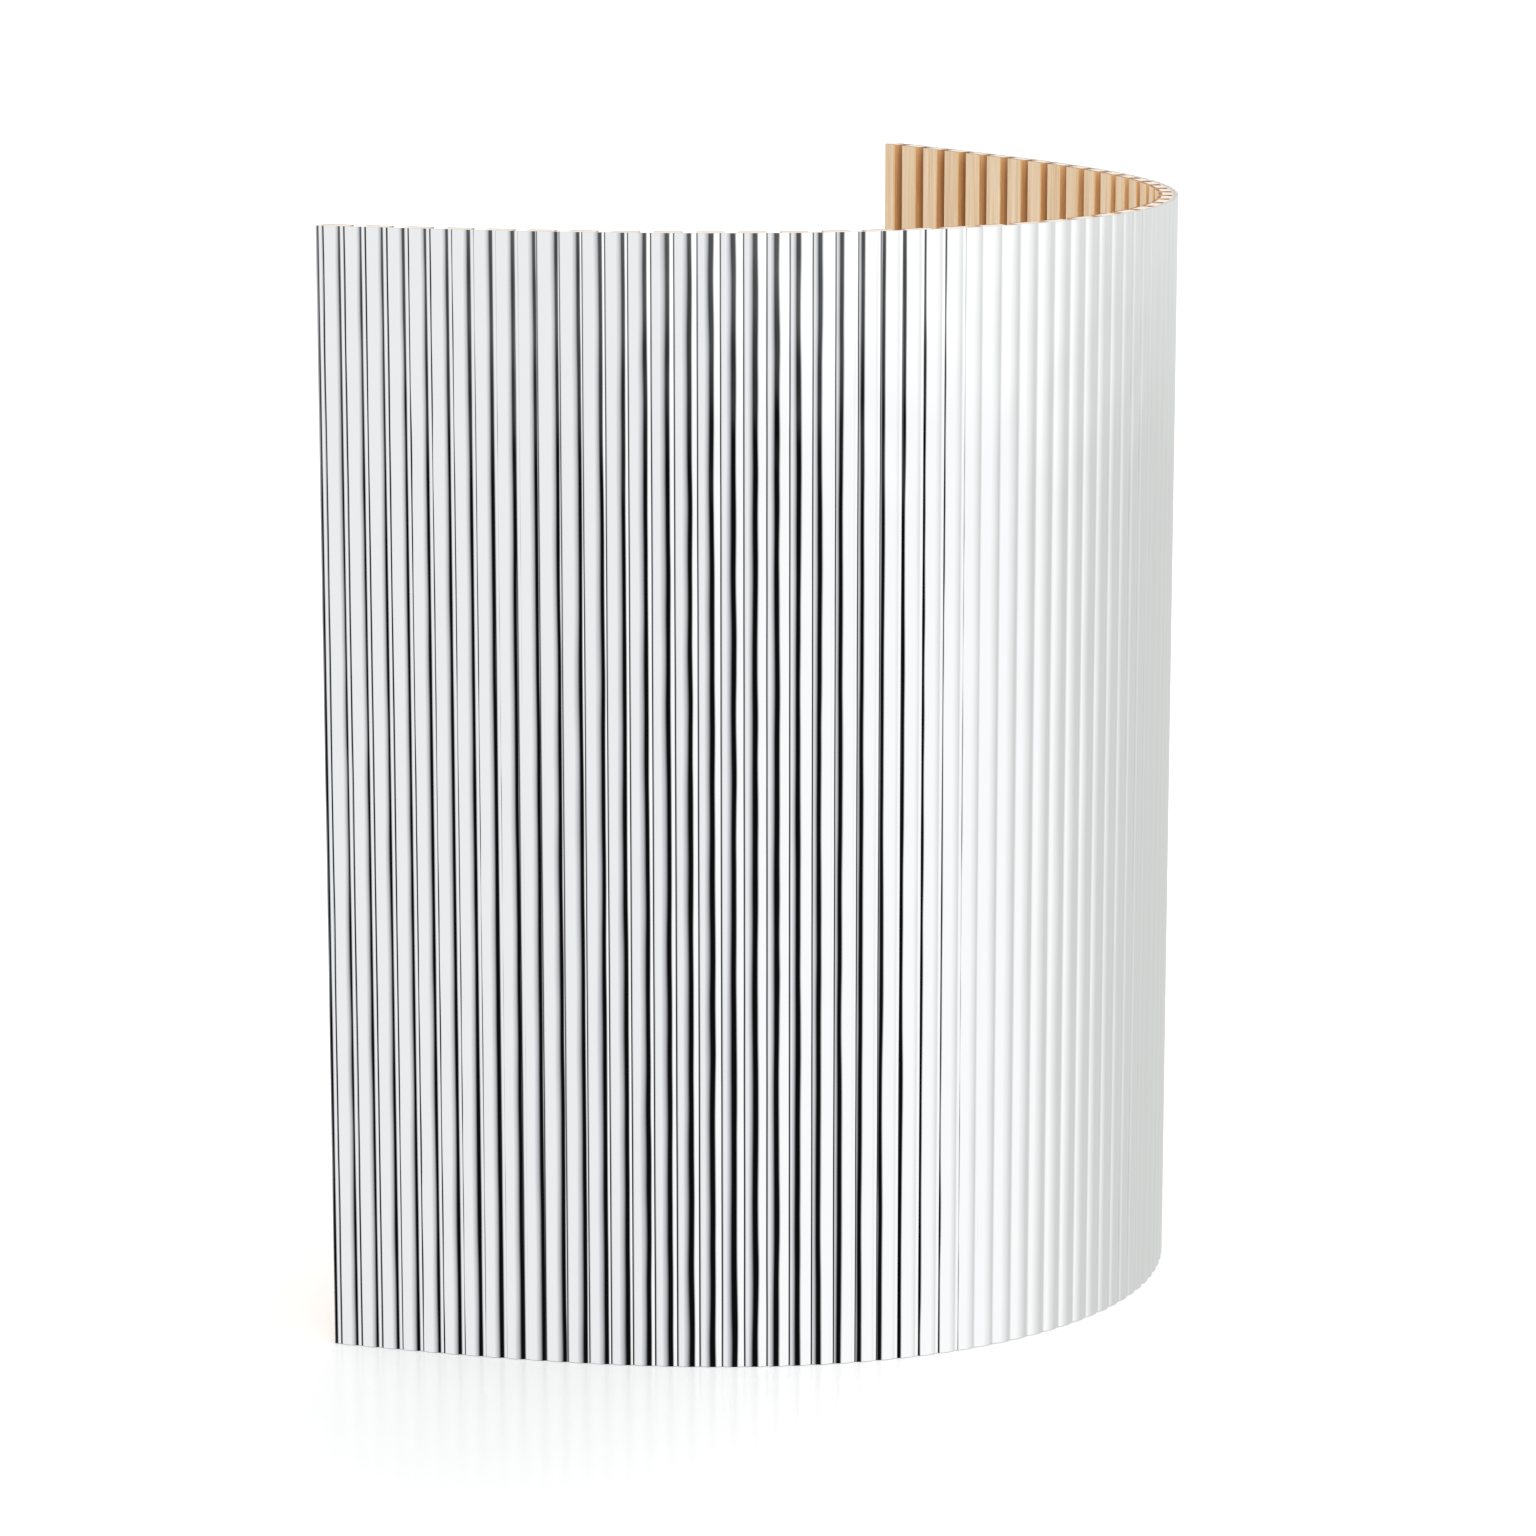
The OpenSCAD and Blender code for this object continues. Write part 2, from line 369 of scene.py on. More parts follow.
# %% Material: end of the board at the top and bottom edges
# pale cream, with short specks instead of lines; greyer in the web behind the film, and
# browner along the back of a tooth, where the saw has scorched the veneer's edge
board_end = wood("cut_board_end", "#EAD8C4", "#FDF7EE", "#F6E9DA",
                 across=1.4, upward=0.0, roughness=0.75, bump=0.0001,
                 layers_and_shade=((3.0, "#DADCDE"), (4.0, "#FFFFFF"), (12.8, "#FFFFFF"), (13.8, "#AC8473")))
print(board_end.name, len(board_end.node_tree.nodes), "nodes")

# %% [markdown]
# ## The rib's shape as a node group
# The real ribs all seem to have one shape. They could be modelled one by one, but one
# rule gives all 82: a crown that gets rounder towards its sides, and a hollow valley
# between two crowns. The way that the photograph's reflections turn gives the slopes: 4
# degrees at 2 mm from the crest, 14 at 6 mm and 20 at 8 mm, and then back to level within
# 1.5 mm. A node group works the height out for any distance along the panel. Both the
# facing and the wood under it use the group, so they fit.

# %% Node group: height of a rib at a distance along the panel
rib_group = bpy.data.node_groups.new("rib_height", "GeometryNodeTree")
RIB_INPUTS = {
    "Way": 0.0, "First valley": FIRST_VALLEY, "Rib pitch": RIB_PITCH, "Rib rise": RIB_RISE,
    "Crown radius": 30.3, "Side roll": 0.00006, "Valley radius": 5.5,
    "Valley reach": 0.25, "Blend": 0.04,
}
for name, value in RIB_INPUTS.items():
    socket = rib_group.interface.new_socket(name, in_out="INPUT", socket_type="NodeSocketFloat")
    socket.default_value = value
rib_group.interface.new_socket("Height", in_out="OUTPUT", socket_type="NodeSocketFloat")
given = add(rib_group, "NodeGroupInput").outputs
half = add(rib_group, "ShaderNodeMath", {0: given["Rib pitch"], 1: 0.5}, operation="MULTIPLY")
from_first = add(rib_group, "ShaderNodeMath", {
    0: given["Way"], 1: given["First valley"]}, operation="SUBTRACT")
centred = add(rib_group, "ShaderNodeMath", {0: from_first, 1: half}, operation="SUBTRACT")
minus_half = add(rib_group, "ShaderNodeMath", {0: half, 1: -1.0}, operation="MULTIPLY")
x = add(rib_group, "ShaderNodeMath", {0: centred, 1: half, 2: minus_half}, operation="WRAP")
x2 = add(rib_group, "ShaderNodeMath", {0: x, 1: x}, operation="MULTIPLY")
twice_r = add(rib_group, "ShaderNodeMath", {
    0: given["Crown radius"], 1: 2.0}, operation="MULTIPLY")
fall = add(rib_group, "ShaderNodeMath", {0: x2, 1: twice_r}, operation="DIVIDE")
x4 = add(rib_group, "ShaderNodeMath", {0: x2, 1: x2}, operation="MULTIPLY")
roll = add(rib_group, "ShaderNodeMath", {
    0: x4, 1: given["Side roll"], 2: fall}, operation="MULTIPLY_ADD")
crown = add(rib_group, "ShaderNodeMath", {0: given["Rib rise"], 1: roll}, operation="SUBTRACT")
aside = add(rib_group, "ShaderNodeMath", {0: x}, operation="ABSOLUTE")
from_valley = add(rib_group, "ShaderNodeMath", {0: half, 1: aside}, operation="SUBTRACT")
v2 = add(rib_group, "ShaderNodeMath", {0: from_valley, 1: from_valley}, operation="MULTIPLY")
twice_v = add(rib_group, "ShaderNodeMath", {
    0: given["Valley radius"], 1: 2.0}, operation="MULTIPLY")
hollow = add(rib_group, "ShaderNodeMath", {0: v2, 1: twice_v}, operation="DIVIDE")
foot = add(rib_group, "ShaderNodeMath", {
    0: hollow, 1: given["Valley reach"]}, operation="MINIMUM")
height = add(rib_group, "ShaderNodeMath", {
    0: crown, 1: foot, 2: given["Blend"]}, operation="SMOOTH_MAX")
add(rib_group, "NodeGroupOutput", {"Height": height})
print("rib group", len(rib_group.nodes), "nodes")


# %% Displace points outward by the rib's height, in any tree
def put_on_ribs(tree, geometry, selection=None):
    """Moves points along their outward attribute by the height of the rib they are on."""
    way = add(tree, "GeometryNodeInputNamedAttribute", {"Name": "way"}, data_type="FLOAT")
    outward = add(tree, "GeometryNodeInputNamedAttribute", {
        "Name": "outward"}, data_type="FLOAT_VECTOR")
    rib = add(tree, "GeometryNodeGroup", node_tree=rib_group)
    tree.links.new(way.outputs[0], rib.inputs["Way"])
    for name, value in list(RIB_INPUTS.items())[1:]:
        rib.inputs[name].default_value = value
    metres = add(tree, "ShaderNodeMath", {0: rib, 1: 0.001}, operation="MULTIPLY")
    step = add(tree, "ShaderNodeVectorMath", {0: outward, "Scale": metres}, operation="SCALE")
    moved = add(tree, "GeometryNodeSetPosition", {"Geometry": geometry, "Offset": step})
    if selection:
        tree.links.new(selection.outputs[0], moved.inputs["Selection"])
    return moved


# %% A mesh of wires or faces with attributes, and a tree that finishes it
def base_object(name, points, edges=(), faces=()):
    """points: (place mm, outward, way mm, depth mm, tooth, on the ribs or not)."""
    mesh = bpy.data.meshes.new(name)
    mesh.from_pydata([(p[0][0] / 1000, p[0][1] / 1000, 0) for p in points], edges, faces)
    for key, kind, values in (
        ("outward", "FLOAT_VECTOR", [(*p[1], 0) for p in points]),
        ("grain_at", "FLOAT_VECTOR", [p[2:5] for p in points]),
        ("way", "FLOAT", [p[2] for p in points]),
        ("ribbed", "FLOAT", [p[5] for p in points]),
    ):
        layer = mesh.attributes.new(key, kind, "POINT")
        flat = [v for p in values for v in p] if kind == "FLOAT_VECTOR" else values
        layer.data.foreach_set("vector" if kind == "FLOAT_VECTOR" else "value", flat)
    made = bpy.data.objects.new(name, mesh)
    bpy.context.scene.collection.objects.link(made)
    return made


def grow(made, tree, **sizes):
    """Runs a tree on an object, with its inputs set by name, and keeps a plain mesh."""
    modifier = made.modifiers.new("grow", "NODES")
    modifier.node_group = tree
    for item in tree.interface.items_tree:
        if item.item_type == "SOCKET" and item.in_out == "INPUT" and item.name in sizes:
            modifier[item.identifier] = sizes[item.name]
    view = bpy.context.evaluated_depsgraph_get()
    plain = bpy.data.meshes.new_from_object(
        made.evaluated_get(view), preserve_all_data_layers=True, depsgraph=view)
    plain.name = made.name
    if plain.materials and plain.materials[0] is None:
        plain.materials.pop(index=0)
    made.modifiers.clear()
    old, made.data = made.data, plain
    bpy.data.meshes.remove(old)
    return made


print("ready to grow pieces")

# %% [markdown]
# ## The tree for the facing
# The facing is a wire along the panel's line. The tree lifts it onto the ribs and sweeps
# an upright rectangle along it, which gives a closed sheet as thick as the film and its
# backing. A flat grid pushed out by a displacement would do too, but it needs far more
# faces. Sweeping keeps the wall's quads long and even, so the mirror stays clean.

# %% Geometry nodes: sweep a film along a wire
# edges that turn by more than this stay sharp; a rib's own turns are far smaller
SHARP_ANGLE = math.radians(40)
film_tree = bpy.data.node_groups.new("swept_film", "GeometryNodeTree")
film_tree.interface.new_socket("Geometry", in_out="INPUT", socket_type="NodeSocketGeometry")
for name in ("Height", "Thickness"):
    film_tree.interface.new_socket(name, in_out="INPUT", socket_type="NodeSocketFloat")
film_tree.interface.new_socket("Geometry", in_out="OUTPUT", socket_type="NodeSocketGeometry")
given = add(film_tree, "NodeGroupInput").outputs
lifted = put_on_ribs(film_tree, given["Geometry"])
curve = add(film_tree, "GeometryNodeMeshToCurve", {0: lifted})
upright = add(film_tree, "GeometryNodeSetCurveNormal", {"Curve": curve}, mode="Z_UP")
section = add(film_tree, "GeometryNodeCurvePrimitiveQuadrilateral", {
    "Width": given["Thickness"], "Height": given["Height"]})
inward = add(film_tree, "ShaderNodeMath", {0: given["Thickness"], 1: -0.5}, operation="MULTIPLY")
half_up = add(film_tree, "ShaderNodeMath", {0: given["Height"], 1: -0.5}, operation="MULTIPLY")
aside = add(film_tree, "ShaderNodeCombineXYZ", {0: inward, 1: half_up, 2: 0.0})
seated = add(film_tree, "GeometryNodeSetPosition", {"Geometry": section, "Offset": aside})
swept = add(film_tree, "GeometryNodeCurveToMesh", {
    "Curve": upright, "Profile Curve": seated, "Fill Caps": True})
angle = add(film_tree, "GeometryNodeInputMeshEdgeAngle")
steep = add(film_tree, "FunctionNodeCompare", {"A": angle.outputs[0], "B": SHARP_ANGLE},
            data_type="FLOAT", operation="GREATER_THAN")
round_faces = add(film_tree, "GeometryNodeSetShadeSmooth", {"Geometry": swept})
sharp_edges = add(film_tree, "GeometryNodeSetShadeSmooth", {
    "Geometry": round_faces, "Selection": steep, "Shade Smooth": False}, domain="EDGE")
whole = add(film_tree, "GeometryNodeRealizeInstances", {0: sharp_edges})
done = add(film_tree, "GeometryNodeSetMaterial", {"Geometry": whole, "Material": silvered_film})
add(film_tree, "NodeGroupOutput", {0: done})
print("film tree", len(film_tree.nodes), "nodes")


# %% [markdown]
# ## Where to cut the facing
# The film of the real panel is one sheet, and it bends over each groove. Here the facing
# is cut into strips: one across each hinge line, and one at each end, since a cut at each
# hinge would gape. So each strip ends in the valley that is nearest to the middle of a
# slat, where the eye expects a line, and where nothing bends.

# %% Points along the line, closer together where a rib turns fast
CROWN_STEPS, SIDE_STEPS, SIDE_FROM = 30, 18, 7.8
# a sample closer than this to an end of a strip is left out, in mm
END_CLEARANCE = 0.02


def rib_points():
    """Distances from a rib's middle, in mm, at which the line is sampled."""
    half = RIB_PITCH / 2
    crown = [-SIDE_FROM + 2 * SIDE_FROM * i / CROWN_STEPS for i in range(CROWN_STEPS + 1)]
    side = [SIDE_FROM + (half - SIDE_FROM) * i / SIDE_STEPS for i in range(1, SIDE_STEPS + 1)]
    return [-v for v in reversed(side)] + crown + side[:-1]


RIB_POINTS = rib_points()


def samples(lo, hi):
    """Distances along the panel from lo to hi, both kept."""
    out = [lo]
    first, last = (int((end - FIRST_VALLEY) // RIB_PITCH) for end in (lo, hi))
    low, high = lo + END_CLEARANCE, hi - END_CLEARANCE
    for k in range(first, last + 1):
        middle = FIRST_VALLEY + (k + 0.5) * RIB_PITCH
        out += [middle + v for v in RIB_POINTS if low < middle + v < high]
    return out + [hi]


def slat_span(s):
    t = last_tooth(s)
    return STARTS[first_tooth(s)], STARTS[t] + LENGTHS[t]


def middle_valley(s):
    lo, hi = slat_span(s)
    return FIRST_VALLEY + round(((lo + hi) / 2 - FIRST_VALLEY) / RIB_PITCH) * RIB_PITCH


print("points on a rib", len(RIB_POINTS), "first cuts", [middle_valley(s) for s in range(3)])


# %% Make the facing's strips
def facing_strip(name, lo, hi):
    points = [(*plan_point(u, 0.0), u, 0.0, 0.0, 1.0) for u in samples(lo, hi)]
    wire = base_object(name, points, edges=[(i, i + 1) for i in range(len(points) - 1)])
    return grow(wire, film_tree, Height=PANEL_H / 1000, Thickness=FACING_T / 1000)


CUTS = [0.0] + [middle_valley(s) for s in range(SLATS)] + [TOTAL]
facing = []
for i in range(SLATS + 1):
    inner = 0 < i < SLATS
    name = f"facing_{i:02d}_{i + 1:02d}" if inner else ("facing_near_end", "facing_rear_end")[i > 0]
    facing.append(facing_strip(name, CUTS[i], CUTS[i + 1]))
print("facing strips", len(facing), "faces", sum(len(f.data.polygons) for f in facing))

# %% [markdown]
# ## The tree for the wood
# Each slat of wood is an outline in plan, drawn once, that stands up. The real one is
# sawn from a board, and boxes cut by booleans could copy that, but an outline needs no
# cutting and leaves clean faces. The tree moves the outline's front onto the ribs, raises
# the face to the panel's height and closes it below. Then it hands out the three
# finishes: veneer on the backs of the teeth, board end on the top and bottom, and sawn
# board everywhere else.

# %% Geometry nodes: stand an outline up and give its faces their finishes
# points closer than this are one point, in metres
WELD = 0.000001
# a face looks in where its normal is nearly opposite to outward, and it is an end of the
# board where its normal is more upright than level
LOOKS_IN, IS_UPRIGHT = -0.9, 0.5
wood_tree = bpy.data.node_groups.new("standing_outline", "GeometryNodeTree")
wood_tree.interface.new_socket("Geometry", in_out="INPUT", socket_type="NodeSocketGeometry")
for name in ("Height", "Veneer depth"):
    wood_tree.interface.new_socket(name, in_out="INPUT", socket_type="NodeSocketFloat")
wood_tree.interface.new_socket("Geometry", in_out="OUTPUT", socket_type="NodeSocketGeometry")
given = add(wood_tree, "NodeGroupInput").outputs
ribbed = add(wood_tree, "GeometryNodeInputNamedAttribute", {"Name": "ribbed"}, data_type="FLOAT")
on_ribs = add(wood_tree, "FunctionNodeCompare", {"A": ribbed.outputs[0], "B": 0.5},
              data_type="FLOAT", operation="GREATER_THAN")
shaped = put_on_ribs(wood_tree, given["Geometry"], on_ribs)
rise = add(wood_tree, "ShaderNodeCombineXYZ", {0: 0.0, 1: 0.0, 2: given["Height"]})
raised = add(wood_tree, "GeometryNodeExtrudeMesh", {
    "Mesh": shaped, "Offset": rise, "Offset Scale": 1.0, "Individual": False})
under = add(wood_tree, "GeometryNodeFlipFaces", {0: shaped})
joined = add(wood_tree, "GeometryNodeJoinGeometry")
for part in (raised, under):
    wood_tree.links.new(part.outputs[0], joined.inputs[0])
closed = add(wood_tree, "GeometryNodeMergeByDistance", {
    "Geometry": joined, "Distance": WELD})
flat = add(wood_tree, "GeometryNodeSetShadeSmooth", {
    "Geometry": closed, "Shade Smooth": False})
normal = add(wood_tree, "GeometryNodeInputNormal")
outward = add(wood_tree, "GeometryNodeInputNamedAttribute", {
    "Name": "outward"}, data_type="FLOAT_VECTOR")
facing_out = add(wood_tree, "ShaderNodeVectorMath", {
    0: normal, 1: outward}, operation="DOT_PRODUCT")
looks_in = add(wood_tree, "FunctionNodeCompare", {
    "A": facing_out.outputs["Value"], "B": LOOKS_IN}, data_type="FLOAT", operation="LESS_THAN")
grain_at = add(wood_tree, "GeometryNodeInputNamedAttribute", {
    "Name": "grain_at"}, data_type="FLOAT_VECTOR")
depth = add(wood_tree, "ShaderNodeSeparateXYZ", {0: grain_at}).outputs["Y"]
deep = add(wood_tree, "FunctionNodeCompare", {"A": depth, "B": given["Veneer depth"]},
           data_type="FLOAT", operation="GREATER_THAN")
is_back = add(wood_tree, "FunctionNodeBooleanMath", {0: looks_in, 1: deep}, operation="AND")
upward = add(wood_tree, "ShaderNodeSeparateXYZ", {0: normal}).outputs["Z"]
level = add(wood_tree, "ShaderNodeMath", {0: upward}, operation="ABSOLUTE")
is_end = add(wood_tree, "FunctionNodeCompare", {"A": level, "B": IS_UPRIGHT},
             data_type="FLOAT", operation="GREATER_THAN")
whole = add(wood_tree, "GeometryNodeRealizeInstances", {0: flat})
sawn = add(wood_tree, "GeometryNodeSetMaterial", {"Geometry": whole, "Material": sawn_board})
backed = add(wood_tree, "GeometryNodeSetMaterial", {
    "Geometry": sawn, "Selection": is_back, "Material": maple_veneer})
ended = add(wood_tree, "GeometryNodeSetMaterial", {
    "Geometry": backed, "Selection": is_end, "Material": board_end})
add(wood_tree, "NodeGroupOutput", {0: ended})
print("wood tree", len(wood_tree.nodes), "nodes")


# %% Outlines of the slats and of the webs between them
# all in mm: depth of the wood's front, a hair behind the facing, how far the wood stays
# below the facing's top edge, and the depth beyond which a tooth's back is veneer
FRONT = FACING_T + 0.02
EASED = 0.15
VENEER_FROM = 10.0


def front_points(lo, hi, tooth):
    return [(*plan_point(u, FRONT), u, FRONT, tooth, 1.0) for u in samples(lo, hi)]


def floor_points(lo, hi, tooth, steps=6):
    """The floor of a groove, from its high end to its low end."""
    ways = [hi + (lo - hi) * i / steps for i in range(steps + 1)]
    return [(*plan_point(u, WEB_T), u, WEB_T, tooth, 0.0) for u in ways]


def back_points(t):
    """The back of one tooth, from its high side to its low side."""
    low = 0.0 if t == 0 else GROOVE_W / 2
    high = LENGTHS[t] - (0.0 if t == TEETH - 1 else GROOVE_W / 2)
    corners = [(high, BACK_Y - CHAMFER), (high - CHAMFER, BACK_Y),
               (low + CHAMFER, BACK_Y), (low, BACK_Y - CHAMFER)]
    return [(*tooth_point(t, x, y), STARTS[t] + x, y, t + 1.0, 0.0) for x, y in corners]


def standing(name, points):
    face = base_object(name, points, faces=[tuple(range(len(points)))])
    sizes = {"Height": (PANEL_H - EASED) / 1000, "Veneer depth": VENEER_FROM}
    return grow(face, wood_tree, **sizes)


def wood_slat(s):
    lo, hi = slat_span(s)
    lo = lo if s == 0 else lo + GROOVE_W / 2
    hi = hi if s == SLATS - 1 else hi - GROOVE_W / 2
    points = front_points(lo, hi, first_tooth(s) + 1.0)
    for t in range(last_tooth(s), first_tooth(s) - 1, -1):
        high = STARTS[t] + LENGTHS[t] - GROOVE_W / 2
        low = STARTS[t] + GROOVE_W / 2
        if t == last_tooth(s) and t < TEETH - 1:
            points.append((*plan_point(high, WEB_T), high, WEB_T, t + 1.0, 0.0))
        points += back_points(t)
        if t > first_tooth(s):
            points += floor_points(low - GROOVE_W, low, t + 0.5)
        elif t > 0:
            points.append((*plan_point(low, WEB_T), low, WEB_T, t + 1.0, 0.0))
    return standing(f"wood_{s + 1:02d}", points)


def wood_web(s):
    u = slat_span(s)[1]
    lo, hi = u - GROOVE_W / 2, u + GROOVE_W / 2
    points = front_points(lo, hi, last_tooth(s) + 1.5) + floor_points(lo, hi, last_tooth(s) + 1.5)
    return standing(f"web_{s + 1:02d}_{s + 2:02d}", points)


slats = [wood_slat(s) for s in range(SLATS)]
webs = [wood_web(s) for s in range(SLATS - 1)]
faces = sum(len(piece.data.polygons) for piece in slats + webs)
print("slats", len(slats), "webs", len(webs), "faces", faces)

# %% [markdown]
# ## Riding on the bodies
# The wood of a slat rides on its body, and so do the two end strips of facing. The webs
# and the strips of facing that cross a hinge line could be cut there, but the panel would
# gape as it turns, so they are left whole and stay where they are drawn, tied to no body.
# The real thin web bends over the width of the groove. Each piece stands for the solid
# that it dresses.

# %% Tie the slats and the end strips to the bodies, and leave the rest where they are drawn
for s in range(SLATS):
    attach(slats[s], body_name(s))
    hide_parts(f"slat_{s + 1:02d}")
for s in range(SLATS - 1):
    for piece, slot in ((webs[s], "bare_wood"), (facing[s + 1], "mirror_facing")):
        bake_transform(piece)
    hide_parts(f"mirror_{s + 2:02d}")
for piece, s in ((facing[0], 0), (facing[-1], SLATS - 1)):
    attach(piece, body_name(s))
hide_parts("mirror_01")

# %% [markdown]
# ## Floor
# A plain white floor. A curved backdrop would do the same, but a plane that runs far out
# under a white background needs no fitting to the camera. The camera sees it brighter
# than it is, so that it runs into the white background, and only the soft shadow under
# the panel's edge stays. In a soft pool in front of the left run the camera sees it less
# bright: a painted shadow. It has a faint rough gloss that picks up the foot of the ribs.
# The mirror film shows the studio around the panel and not the floor, as in the
# photograph, so reflections pass it by.

# %% Floor
# middle of the painted shadow on the floor, and how far it reaches, in metres
PAINTED_SHADOW_MIDDLE = (-0.28, -0.64, 0.0)
PAINTED_SHADOW_REACH = (0.78, 0.93, 1.0)
# how bright the camera sees the floor outside the painted shadow and in its middle, how
# bright it is for all other light, and its faint gloss
OPEN_FLOOR, PAINTED_SHADOW_FLOOR, TRUE_FLOOR = 1.36, 1.04, 0.8
GLOSS_SHARE, GLOSS_ROUGHNESS = 0.1, 0.17
bpy.ops.mesh.primitive_plane_add(size=60, location=(0, 0, -0.0005))
floor = bpy.context.object
floor.name = "floor"
floor.visible_glossy = False
white_floor = bpy.data.materials.new("matt_white_floor")
white_floor.use_nodes = True
tree = white_floor.node_tree
tree.nodes.clear()
on_floor = add(tree, "ShaderNodeTexCoord").outputs["Object"]
around_painted_shadow = add(tree, "ShaderNodeMapping", {
    "Vector": on_floor, "Scale": [1 / r for r in PAINTED_SHADOW_REACH],
    "Location": [-c / r for c, r in zip(PAINTED_SHADOW_MIDDLE, PAINTED_SHADOW_REACH)]})
# painted shadow: the camera sees the floor less bright towards the pool's middle
painted_shadow_nearness = add(tree, "ShaderNodeTexGradient", {"Vector": around_painted_shadow}, gradient_type="SPHERICAL")
brightness_with_painted_shadow = add(tree, "ShaderNodeMapRange", {
    "Value": painted_shadow_nearness.outputs["Fac"], "To Min": OPEN_FLOOR, "To Max": PAINTED_SHADOW_FLOOR},
    interpolation_type="SMOOTHSTEP")
seen = add(tree, "ShaderNodeLightPath").outputs["Is Camera Ray"]
paint = add(tree, "ShaderNodeMix", {
    "Factor": seen, "A": (TRUE_FLOOR, TRUE_FLOOR, TRUE_FLOOR, 1),
    "B": brightness_with_painted_shadow.outputs["Result"]}, data_type="RGBA")
matt = add(tree, "ShaderNodeBsdfDiffuse", {"Color": paint.outputs["Result"]})
gloss = add(tree, "ShaderNodeBsdfGlossy", {
    "Color": (1, 1, 1, 1), "Roughness": GLOSS_ROUGHNESS})
surface = add(tree, "ShaderNodeMixShader", {0: GLOSS_SHARE, 1: matt, 2: gloss})
add(tree, "ShaderNodeOutputMaterial", {"Surface": surface})
floor.data.materials.append(white_floor)
print("floor", floor.dimensions[:])

# %% [markdown]
# ## Studio
# The world is the studio. A diffuse surface gets plain even light from it. A mirror sees
# large white screens all round it. Between two of them is a dark gap, where the camera
# stands, and there is a thin dark upright on the left and a doorway behind. Each rib is a
# small convex mirror that sweeps about eighty degrees of this, so every screen edge turns
# into a line that runs up each rib. The gap is wider for rays that drop more, and the
# light over the screens veils it for rays that are nearly level. A studio could be an
# image of surroundings, but a few named finishes and edges are easier to read and change.
# The edges stand where the photograph's reflections ask for them; the doorway is invented.

# %% Screens round the panel
# the studio has few finishes: cloth on each side, a pale wall, and places without light
LEFT_CLOTH, RIGHT_CLOTH, PALE_WALL = "#EDEEEF", "#FCFCFC", "#D2D3D1"
TURNED_AWAY, DOORWAY, UNLIT = "#B5B6BA", "#2A2A2C", "#0D0D0D"
# degrees by compass, 0 towards the camera and 90 to the right, with the finish there
SCREENS = (
    # wall behind the panel, with a doorway
    (-180, PALE_WALL), (-172, PALE_WALL), (-168, DOORWAY), (-160, DOORWAY), (-156, PALE_WALL),
    # left screen, with a thin dark upright before it
    (-110, LEFT_CLOTH), (-82, LEFT_CLOTH), (-80, UNLIT), (-73, UNLIT), (-69, LEFT_CLOTH),
    # its inner end turns away from the light, and then the gap begins
    (-27, LEFT_CLOTH), (-12, TURNED_AWAY), (-4, UNLIT),
    # right screen, and the wall beyond it
    (11, UNLIT), (18, RIGHT_CLOTH), (56, RIGHT_CLOTH), (100, PALE_WALL), (180, PALE_WALL),
)
# the gap's sides lean: (from, to, give of a steep ray, give of a flat ray), all in degrees
GAP_MIDDLE = 5
LEANS = ((GAP_MIDDLE - 60, GAP_MIDDLE, -4.5, 4.0), (GAP_MIDDLE, GAP_MIDDLE + 40, 0.0, 2.4))
# one soft band of light lies over the gap: how far a ray drops over a length of 1 where
# the band begins, is strongest and ends, and how strong it is there
VEIL = ((-0.145, 0.0), (-0.094, 0.11), (0.0, 0.0))
# drop of a steep and of a flat ray for the lean, and where the band of light comes in
STEEP_DROP, FLAT_DROP, VEIL_FROM = -0.32, -0.08, -30
# how bright the screens are lit, and the even light that all matt surfaces get
SCREEN_GAIN, EVEN_LIGHT = 1.08, 0.97


def compass_share(degrees):
    return (degrees + 180) / 360


print(len(SCREENS), "stops round the panel")

# %% World
world = bpy.data.worlds.new("studio")
bpy.context.scene.world = world
world.use_nodes = True
tree = world.node_tree
tree.nodes.clear()
toward = add(tree, "ShaderNodeTexCoord").outputs["Generated"]
part = add(tree, "ShaderNodeSeparateXYZ", {0: toward}).outputs
front = add(tree, "ShaderNodeMath", {0: part["Y"], 1: -1.0}, operation="MULTIPLY")
compass = add(tree, "ShaderNodeMath", {0: part["X"], 1: front}, operation="ARCTAN2")
turn = add(tree, "ShaderNodeMath", {
    0: compass, 1: 1 / (2 * math.pi), 2: 0.5}, operation="MULTIPLY_ADD")
# the gap's two sides lean apart downwards
leaned = turn
for low, high, steep, flat in LEANS:
    left = low < GAP_MIDDLE
    beside = add(tree, "ShaderNodeMapRange", {
        "Value": turn, "From Min": compass_share(low), "From Max": compass_share(high),
        "To Min": -math.pi if left else 0.0, "To Max": 0.0 if left else math.pi})
    side = add(tree, "ShaderNodeMath", {0: beside}, operation="SINE")
    lean = add(tree, "ShaderNodeMapRange", {
        "Value": part["Z"], "From Min": STEEP_DROP, "From Max": FLAT_DROP,
        "To Min": steep / 360, "To Max": flat / 360})
    leaned = add(tree, "ShaderNodeMath", {0: side, 1: lean, 2: leaned}, operation="MULTIPLY_ADD")
lit = [(compass_share(degrees), linear(c, SCREEN_GAIN)) for degrees, c in SCREENS]
screens = ramp(tree, leaned, lit)
